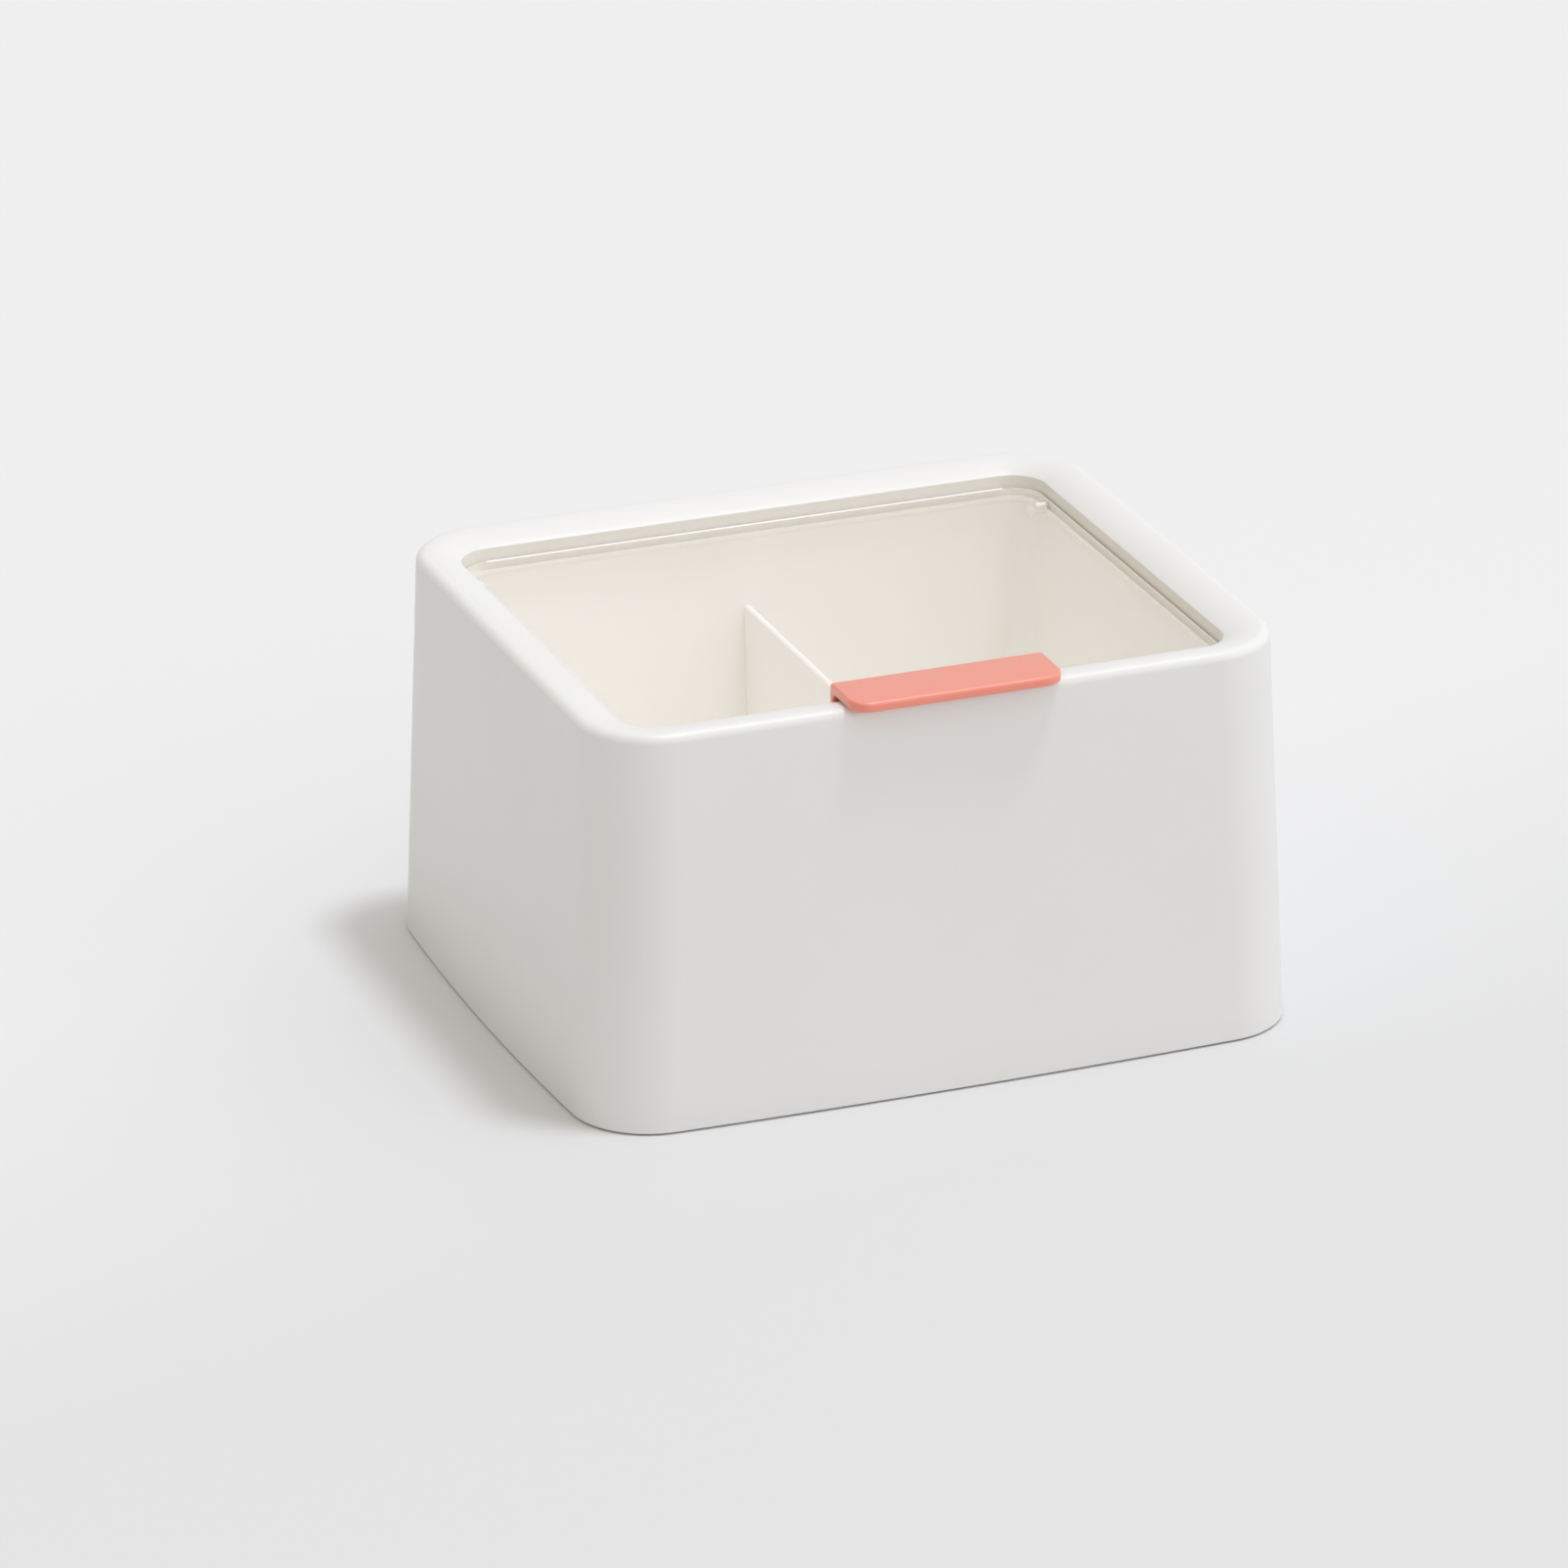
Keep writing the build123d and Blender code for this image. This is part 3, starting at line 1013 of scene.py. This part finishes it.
    def surface(self) -> Patch:
        """Joins the rings outside and inside into one closed shell.

        Returns:
            The shell, with the recess wall marked for its painted shade.
        """
        at = self.columns()
        outer, inner = self.outer_rings(at), self.inner_rings(at)
        rows = np.stack(outer + inner)
        # The recess wall, from the rim's last ring down, is marked for its painted shade.
        wall = np.arange(len(rows)) - len(outer) - len(self.rim_profile())
        share = ((wall >= -1) & (wall < self.recess_rings)).astype(float)
        return Patch.lattice(rows, close_rows=True, edge=share[:, None])


@dataclass
class Tray(Piece):
    """Cream liner: walls that lean in towards a round-edged floor, and ribs for the divider."""

    name = "tray"
    node = "inner_tray"
    slot = Slot.TRAY
    crease_deg = 40.0

    drawing: Drawing
    wall: float = 1.8
    floor_corner: float = 3.5
    flange: float = 1.8
    flange_reach: float = 2.2
    rib: float = 1.5
    rib_reach: float = 2.0
    rib_height: float = 24.0
    rib_start: float = 1.05
    rib_soft: float = 0.4
    bend_steps: int = 8
    wall_steps: int = 9

    def ring(self, at: Stations, z: float, outset: float) -> Array:
        """Ring at a height: the recess outline drawn in, with narrower corners, towards the floor.

        Args:
            at: the columns.
            z: the height, which gives the share of the taper and of the corners' narrowing.
            outset: how far the ring is then moved outwards.

        Returns:
            (M, 3) points.
        """
        draw = self.drawing
        share = (draw.tray_top - z) / (draw.tray_top - draw.floor_top)
        drawn = draw.tray_taper * share
        corner = draw.recess.corner + (self.floor_corner - draw.recess.corner) * share
        outline = RoundedOutline(draw.recess.half_x - drawn, draw.recess.half_y - drawn, corner)
        return level(outline.points(at, outset), z)

    def rings(self, at: Stations) -> Array:
        """Rings from the floor up the inside, over the flange and down the outside.

        Args:
            at: the columns.

        Returns:
            (R, M, 3) rings, from the floor to the underside.
        """
        draw = self.drawing
        bend = draw.floor_round
        top = draw.tray_top
        inside = [
            self.ring(at, draw.floor_top + bend * (1 - math.cos(turn)), bend * (math.sin(turn) - 1))
            for turn in quarter_turn(self.bend_steps)]
        inside += [
            self.ring(at, z, 0.0)
            for z in np.linspace(draw.floor_top + bend, top, self.wall_steps)[1:]]
        outside = [
            self.ring(at, z, outset) for z, outset in (
                (top, self.flange_reach), (top - self.flange, self.flange_reach),
                (top - self.flange, self.wall), (draw.tray_low, self.wall))]
        return np.stack(inside + outside)

    def ribs(self) -> list[Patch]:
        """Four upright ribs, two on the front wall and two on the rear one.

        Returns:
            The ribs, which reach into the walls and the floor.
        """
        draw = self.drawing
        near = draw.recess.half_y - draw.tray_taper - self.rib_reach
        far = near + self.rib_reach + self.wall / 2
        blocks = []
        for side in np.array([(x, y, 1) for x in (-1, 1) for y in (-1, 1)]):
            ends = side * np.array([
                (self.rib_start, near, draw.floor_top - self.rib_soft),
                (self.rib_start + self.rib, far, draw.floor_top + self.rib_height)])
            blocks.append(soft_block(ends.min(0), ends.max(0), self.rib_soft))
        return blocks

    def surface(self) -> Patch:
        """The liner and its ribs."""
        liner = Patch.lattice(self.rings(self.drawing.columns()), cap=True)
        return Patch.joined([liner, *self.ribs()])


@dataclass
class Divider(Piece):
    """Upright plate with soft edges that stands across the tray."""

    name = "divider_plate"
    node = "divider"
    slot = Slot.TRAY

    drawing: Drawing
    gap: float = 0.3
    soft: float = 0.85
    corner_steps: int = 7

    def surface(self) -> Patch:
        """Six-sided outline, cut off at the floor's round, carried along X.

        Returns:
            The plate.
        """
        draw = self.drawing
        box_low, box_high = node_box(self.node)
        height = box_high[2] - box_low[2]
        lean = draw.tray_taper / (draw.tray_top - draw.floor_top)
        cut = draw.floor_round + self.gap
        high = box_high[1]
        low = high - lean * height
        knee = low + lean * cut
        z_low, z_knee, z_high = box_low[2], box_low[2] + cut, box_high[2]
        corners = np.array([
            (cut - low, z_low), (low - cut, z_low), (knee, z_knee),
            (high, z_high), (-high, z_high), (-knee, z_knee)])
        radii = np.full(len(corners), self.soft)
        outline, normal = rounded_polygon(corners, radii, self.corner_steps)
        return slab(outline, normal, (box_low[0], box_high[0]), self.soft)


@dataclass
class Lid(Piece):
    """Clear lid: a plate with round edges, a shallow skirt behind and beside, and two ears."""

    name = "clear_lid"
    node = "lid_panel"
    slot = Slot.LID
    body = Body.LID

    drawing: Drawing
    edge_round: float = 0.6
    low_round: float = 0.3
    edge_steps: int = 7
    skirt: float = 1.2
    skirt_wall: float = 1.0
    # Width of the top's strip beside the rear edge that also carries the painted highlight.
    painted_highlight_width: float = 0.8
    margin: float = 0.15
    ear_radius: float = 2.2
    ear_length: float = 5.0
    ear_soft: float = 0.4
    ear_share: float = 0.1
    ear_columns: int = 48

    def rings(self, at: Stations, outline: RoundedOutline) -> tuple[Array, Array]:
        """Rings from the plate's top over its edge and skirt to its underside.

        The skirt is full along the sides and the rear, and runs out round the front corners.

        Args:
            at: the columns.
            outline: the plate's outline.

        Returns:
            (R, M, 3) rings and (R, M) marks: the edges' share, which carries the painted
            reflection, and the painted highlight on the rear top edge.
        """
        draw = self.drawing
        depth = np.where(at.quarter == Side.FRONT, np.where(at.turning, at.t, 0.0), 1.0)
        front_left = (at.quarter == Side.LEFT) & at.turning
        low = draw.lid_low - self.skirt * np.where(front_left, 1 - at.t, depth)
        turn = quarter_turn(self.edge_steps)
        top = draw.lid_top
        flat = -self.edge_round - self.painted_highlight_width
        plate = [(flat - self.margin, top), (flat, top)]
        upper = [
            (self.edge_round * (math.sin(a) - 1), top - self.edge_round * (1 - math.cos(a)))
            for a in turn]
        lower = [
            (self.low_round * (math.cos(a) - 1), low + self.low_round * (1 - math.sin(a)))
            for a in turn]
        last = [(-self.skirt_wall, low), (-self.skirt_wall, draw.lid_low)]
        under = [(-self.skirt_wall - self.margin, draw.lid_low)]
        rows = np.stack([
            level(outline.points(at, out), z) for out, z in plate + upper + lower + last + under])
        order = np.arange(len(rows))[:, None]
        top_end = len(plate) + len(upper)
        # Edges carry the painted reflection; the rear top edge and the strip before it carry the
        # painted highlight.
        share = PAINTED_REFLECTION_EDGE_MARK * ((order > len(plate)) & (order < len(rows) - 1))
        painted_highlight = (order > 0) & (order < top_end) & (at.quarter == Side.REAR) & ~at.turning
        return rows, np.where(painted_highlight, PAINTED_HIGHLIGHT_MARK, share)

    def ears(self) -> list[Patch]:
        """Round ears under the plate, about the hinge's axis and cut off at the plate.

        Returns:
            The left ear and the right one.
        """
        draw = self.drawing
        axis = np.array(frame["record"]["behaviour"]["joints"][0]["pos_m"][1:]) / MM
        angle = np.linspace(-np.pi, np.pi, self.ear_columns + 1)[:-1]
        normal = np.column_stack([np.cos(angle), np.sin(angle)])
        outline = axis + self.ear_radius * normal
        outline[:, 1] = np.minimum(outline[:, 1], draw.lid_low)
        outer = draw.recess.half_x - draw.lid_gap
        inner = outer - self.ear_length
        return [
            slab(outline, normal, ends, self.ear_soft, self.ear_share)
            for ends in ((-outer, -inner), (inner, outer))]

    def surface(self) -> Patch:
        """The plate with its skirt, and the two ears.

        Returns:
            The lid, with its edges marked for the painted reflection and its rear top edge for the
            painted highlight.
        """
        recess, gap = self.drawing.recess, self.drawing.lid_gap
        outline = RoundedOutline(recess.half_x - gap, recess.half_y - gap, recess.corner - gap)
        rows, share = self.rings(self.drawing.columns(), outline)
        return Patch.joined([Patch.lattice(rows, cap=True, edge=share), *self.ears()])


@dataclass
class Tab(Piece):
    """Coral pull: a flat strip over the rim with a leg down the lid's front edge."""

    name = "pull_tab"
    node = "lid_tab"
    slot = Slot.TAB
    body = Body.LID
    crease_deg = 50.0

    drawing: Drawing
    over_rim: float = 0.2
    leg_lift: float = 0.3
    front_corner: float = 5.0
    end_soft: float = 0.55
    end_steps: int = 7
    corner_steps: int = 14
    straight_steps: int = 8
    # Radii of the section's bends, in the order of its corners.
    bends: tuple[float, ...] = (0.6, 0.9, 1.0, 0.6, 1.5, 0.6)
    bend_steps: int = 9
    merge_digits: int = 5

    def section(self) -> tuple[Array, Array]:
        """L-shaped section in Y and Z with rounded bends.

        Returns:
            Its points and their outward normals.
        """
        draw = self.drawing
        box_low, box_high = node_box(self.node)
        under, foot = draw.rim + self.over_rim, draw.lid_low + self.leg_lift
        front, top = box_low[1], box_high[2]
        corners = np.array([
            (draw.lid_front, foot), (draw.lid_front, top), (front, top),
            (front, under), (draw.leg_front, under), (draw.leg_front, foot)])
        return rounded_polygon(corners, np.array(self.bends), self.bend_steps)

    def surface(self) -> Patch:
        """The section carried along X.

        Near an end the strip is drawn back on the circle of its front corner, and over the last
        stretch the whole section shrinks along its normals on the circle of the end's edge.

        Returns:
            The tab.
        """
        draw = self.drawing
        outline, normal = self.section()
        straight = draw.tab_half - self.front_corner
        tip = draw.tab_half - self.end_soft * (1 - np.sin(quarter_turn(self.end_steps)))
        bend = straight + self.front_corner * np.sin(quarter_turn(self.corner_steps))
        half = np.concatenate([np.linspace(0, straight, self.straight_steps), bend, tip])
        half = np.unique(half.round(self.merge_digits))
        x = np.concatenate([-half[:0:-1], half])
        into = np.clip(np.abs(x) - straight, 0, self.front_corner)
        back = self.front_corner - np.sqrt(self.front_corner**2 - into**2)
        near = np.clip(np.abs(x) - (draw.tab_half - self.end_soft), 0, self.end_soft)
        inset = self.end_soft - np.sqrt(self.end_soft**2 - near**2)
        ahead = np.minimum(outline[:, 0] - draw.leg_front, 0)
        share = (ahead / ahead.min())[None, :]
        y = outline[None, :, 0] + share * back[:, None] - normal[None, :, 0] * inset[:, None]
        z = outline[None, :, 1] - normal[None, :, 1] * inset[:, None]
        rows = np.stack([np.broadcast_to(x[:, None], y.shape), y, z], axis=-1)
        return Patch.lattice(rows, cap=True)


@dataclass
class FootPad(Piece):
    """Soft round pad under one corner: a turned profile with round edges."""

    slot = Slot.FOOT

    node: str
    soft: float = 0.5
    edge_steps: int = 6
    columns: int = 48

    @property
    def name(self) -> str:
        """The pad's name, after its node's."""
        return f"{self.node}_pad"

    def surface(self) -> Patch:
        """The pad's profile carried round its middle, where its node is.

        Returns:
            The pad.
        """
        low, high = node_box(self.node)
        middle, reach = (low + high) / 2, (high[0] - low[0]) / 2
        turn = quarter_turn(self.edge_steps)
        rim = reach - self.soft * (1 - np.sin(turn))
        rise = low[2] + self.soft * (1 - np.cos(turn))
        radius = np.concatenate([[reach / 2], rim, [reach, reach / 2]])
        height = np.concatenate([[low[2]], rise, [high[2], high[2]]])
        rows = turned(radius, height, self.columns) + np.array([middle[0], middle[1], 0.0])
        return Patch.lattice(rows, cap=True)


@dataclass
class BaseScrews(Piece):
    """Four pan-head screws in the base, each with a cross recess in its head."""

    name = "base_screw_set"
    node = "base_screws"
    slot = Slot.SCREW
    crease_deg = 30.0

    head_radius: float = 2.8
    head_height: float = 1.5
    head_soft: float = 0.6
    shank_radius: float = 1.5
    cross_half: float = 1.7
    cross_width: float = 0.42
    cross_depth: float = 1.0
    end_slope: float = 2.0
    side_slope: float = 2.5
    face_start: float = 0.05
    face_steps: int = 22
    edge_steps: int = 6
    columns: int = 96

    def bar(self, along: Array, across: Array) -> Array:
        """One bar of the cross, whose depth falls off evenly at its ends and sides.

        Args:
            along: distances from the bar's middle along it.
            across: distances from the bar's middle across it.

        Returns:
            Shares of the cross's depth.
        """
        ends = (self.cross_half - np.abs(along)) / self.cross_half * self.end_slope
        sides = (self.cross_width - np.abs(across)) / self.cross_width * self.side_slope
        return np.clip(ends, 0, 1) * np.clip(sides, 0, 1)

    def recess(self, x: Array, y: Array) -> Array:
        """Depth of the cross at places on the head's face: that of the deeper bar."""
        return self.cross_depth * np.maximum(self.bar(x, y), self.bar(y, x))

    def one(self, x: float, y: float, low: float, high: float) -> Patch:
        """One screw: a turned profile from the head's middle to the shank's end, less the cross.

        Args:
            x: place of its axis.
            y: place of its axis.
            low: height of the head's face.
            high: height of the shank's end.

        Returns:
            The closed screw.
        """
        turn = quarter_turn(self.edge_steps)[1:]
        face = np.linspace(self.face_start, self.head_radius - self.head_soft, self.face_steps)
        seat = low + self.head_height
        radius = np.concatenate([
            face, self.head_radius - self.head_soft * (1 - np.sin(turn)), [self.head_radius],
            [self.shank_radius, self.shank_radius, self.shank_radius / 2]])
        height = np.concatenate([
            np.full(len(face), low), low + self.head_soft * (1 - np.cos(turn)), [seat],
            [seat, high - self.shank_radius / 2, high]])
        rows = turned(radius, height, self.columns)
        on_face = np.arange(len(radius))[:, None] < len(face)
        rows[..., 2] += np.where(on_face, self.recess(rows[..., 0], rows[..., 1]), 0.0)
        return Patch.lattice(rows + np.array([x, y, 0.0]), cap=True)

    def surface(self) -> Patch:
        """The screws, at the corners of their node.

        Returns:
            The four screws.
        """
        low, high = node_box(self.node)
        first, last = low + self.head_radius, high - self.head_radius
        places = [(x, y) for x in (first[0], last[0]) for y in (first[1], last[1])]
        return Patch.joined([self.one(x, y, low[2], high[2]) for x, y in places])


@dataclass
class CarriedNodes:
    """CAD nodes that are shown as they are, with a finish each."""

    finishes: dict[str, bpy.types.Material]

    def dress(self) -> None:
        """Gives each node its material."""
        for name, finish in self.finishes.items():
            slots = frame["nodes"][name].data.materials
            slots.clear()
            slots.append(finish)


@dataclass
class Studio:
    """Pale floor, soft light and the camera, in metres."""

    floor_half: float = 9.0
    # The floor's near and far tones and their fade are painted light, paler towards the rear and
    # the left.
    floor_near: Triple = (0.692, 0.692, 0.692)
    floor_far: Triple = (0.77, 0.77, 0.776)
    floor_fade: Triple = (-0.2, 1.0, 0.0)
    floor_span: Pair = (-0.12, 0.08)
    floor_roughness: float = 0.75
    floor_specular: float = 0.2
    sky_left: Triple = (1.0, 0.955, 0.85)
    sky_right: Triple = (1.0, 1.01, 1.03)
    sky_strength: float = 0.86
    sky_lean: Triple = (0.14, -0.31, 0.0)
    sky_across: Triple = (1.0, 0.0, 0.0)
    gap_from: Triple = (-0.766, -0.643, 0.0)
    gap_depth: float = 0.75
    gap_start: float = 0.6
    key_from: Triple = (0.22, -0.1, 1.0)
    key_colour: Triple = (0.96, 1.0, 1.1)
    key_strength: float = 1.06
    key_spread_deg: float = 9.0
    light_bounces: int = 12
    azimuth_deg: float = -21.2986
    elevation_deg: float = 22.2312
    roll_deg: float = -0.2635
    distance: float = 2.27752
    aim_height: float = 0.05
    focal_px: float = 9530.57
    image_px: float = 1601.0
    aim_px: Pair = (856.797, 795.636)
    sensor_mm: float = 36.0
    clip: Pair = (0.05, 60.0)

    def floor(self) -> None:
        """Lays the floor: one level sheet painted paler towards the rear and the left, a painted
        gradient of light.
        """
        half = self.floor_half
        corners = [(-half, -half, 0), (half, -half, 0), (half, half, 0), (-half, half, 0)]
        mesh = bpy.data.meshes.new("floor")
        mesh.from_pydata(corners, [], [(0, 1, 2, 3)])
        bench = Bench("pale_floor")
        fade = bench.spread(bench.reach("Object", self.floor_fade), 0.0, 1.0, *self.floor_span)
        bench.feed("Base Color", bench.tint(fade, self.floor_near, self.floor_far))
        bench.fix({"Roughness": self.floor_roughness, "Specular IOR Level": self.floor_specular})
        mesh.materials.append(bench.material)
        put_in_scene("floor", mesh)

    def lights(self) -> None:
        """Sets a soft sky and a key light from above.

        The sky is brighter in front and on the right, dim between front and left, and warmer on
        the left.
        """
        bench = SkyBench("soft_sky")
        lean = bench.reach("Generated", self.sky_lean)
        even = bench.spread(lean, 0.0, 2 * self.sky_strength, -1.0, 1.0)
        gap = bench.reach("Generated", self.gap_from)
        dim = bench.spread(gap, 1.0, 1.0 - self.gap_depth, self.gap_start, 1.0)
        bench.feed("Strength", bench.product(even, dim))
        side = bench.spread(bench.reach("Generated", self.sky_across), 0.0, 1.0, -1.0, 1.0)
        bench.feed("Color", bench.tint(side, self.sky_left, self.sky_right))
        bpy.context.scene.cycles.diffuse_bounces = self.light_bounces
        data = bpy.data.lights.new("key_light", "SUN")
        data.energy = self.key_strength
        data.color = self.key_colour
        data.angle = math.radians(self.key_spread_deg)
        lamp = put_in_scene("key_light", data)
        lamp.rotation_mode = "QUATERNION"
        lamp.rotation_quaternion = Vector(self.key_from).to_track_quat("Z", "Y")

    def camera(self) -> None:
        """Sets the camera where the photograph was taken from, shifted as its framing was."""
        azimuth, elevation, roll = (
            math.radians(angle) for angle in (self.azimuth_deg, self.elevation_deg, self.roll_deg))
        back = np.array([
            math.sin(azimuth) * math.cos(elevation), -math.cos(azimuth) * math.cos(elevation),
            math.sin(elevation)])
        level_right = np.array([math.cos(azimuth), math.sin(azimuth), 0.0])
        level_up = np.cross(back, level_right)
        right = level_right * math.cos(roll) + level_up * math.sin(roll)
        up = level_up * math.cos(roll) - level_right * math.sin(roll)
        place = np.array([0.0, 0.0, self.aim_height]) + back * self.distance
        data = bpy.data.cameras.new("camera")
        data.sensor_width = self.sensor_mm
        data.lens = self.focal_px / self.image_px * self.sensor_mm
        data.shift_x = (self.image_px / 2 - self.aim_px[0]) / self.image_px
        data.shift_y = (self.aim_px[1] - self.image_px / 2) / self.image_px
        data.clip_start, data.clip_end = self.clip
        camera = put_in_scene("camera", data)
        camera.matrix_world = Matrix(
            np.vstack([np.column_stack([right, up, back, place]), (0.0, 0.0, 0.0, 1.0)]).tolist())
        bpy.context.scene.camera = camera

    def build(self) -> None:
        """Builds the floor, the lights and the camera."""
        bpy.context.scene.view_settings.view_transform = "Standard"
        self.floor()
        self.lights()
        self.camera()


def main() -> None:
    """Builds each piece of the box in order and reports it, then sets up the studio."""
    logging.basicConfig(level=logging.INFO, format="%(name)s: %(message)s")
    drawing, finishes = Drawing(), Finishes()
    cream, silicone = finishes.tray.material(), finishes.foot.material()
    pieces: list[tuple[Piece, bpy.types.Material]] = [
        (Casing(drawing), finishes.shell.material()),
        (Tray(drawing), cream),
        (Divider(drawing), cream),
        (Lid(drawing), finishes.lid.material()),
        (Tab(drawing), finishes.tab.material()),
        *((FootPad(node), silicone) for node in FOOT_NODES),
        (BaseScrews(), finishes.screw.material()),
    ]
    for piece, finish in pieces:
        shown = piece.build(finish)
        LOG.info("%s: %d faces on %s", shown.name, len(shown.data.polygons), piece.body.value)
    acetal = finishes.pin.material()
    carried = {
        "base_cover": finishes.cover.material(),
        "hinge_pin_left": acetal,
        "hinge_pin_right": acetal,
    }
    CarriedNodes(carried).dress()
    for name in carried:
        LOG.info("%s: CAD node with a finish", name)
    Studio().build()


if __name__ == "__main__":
    main()
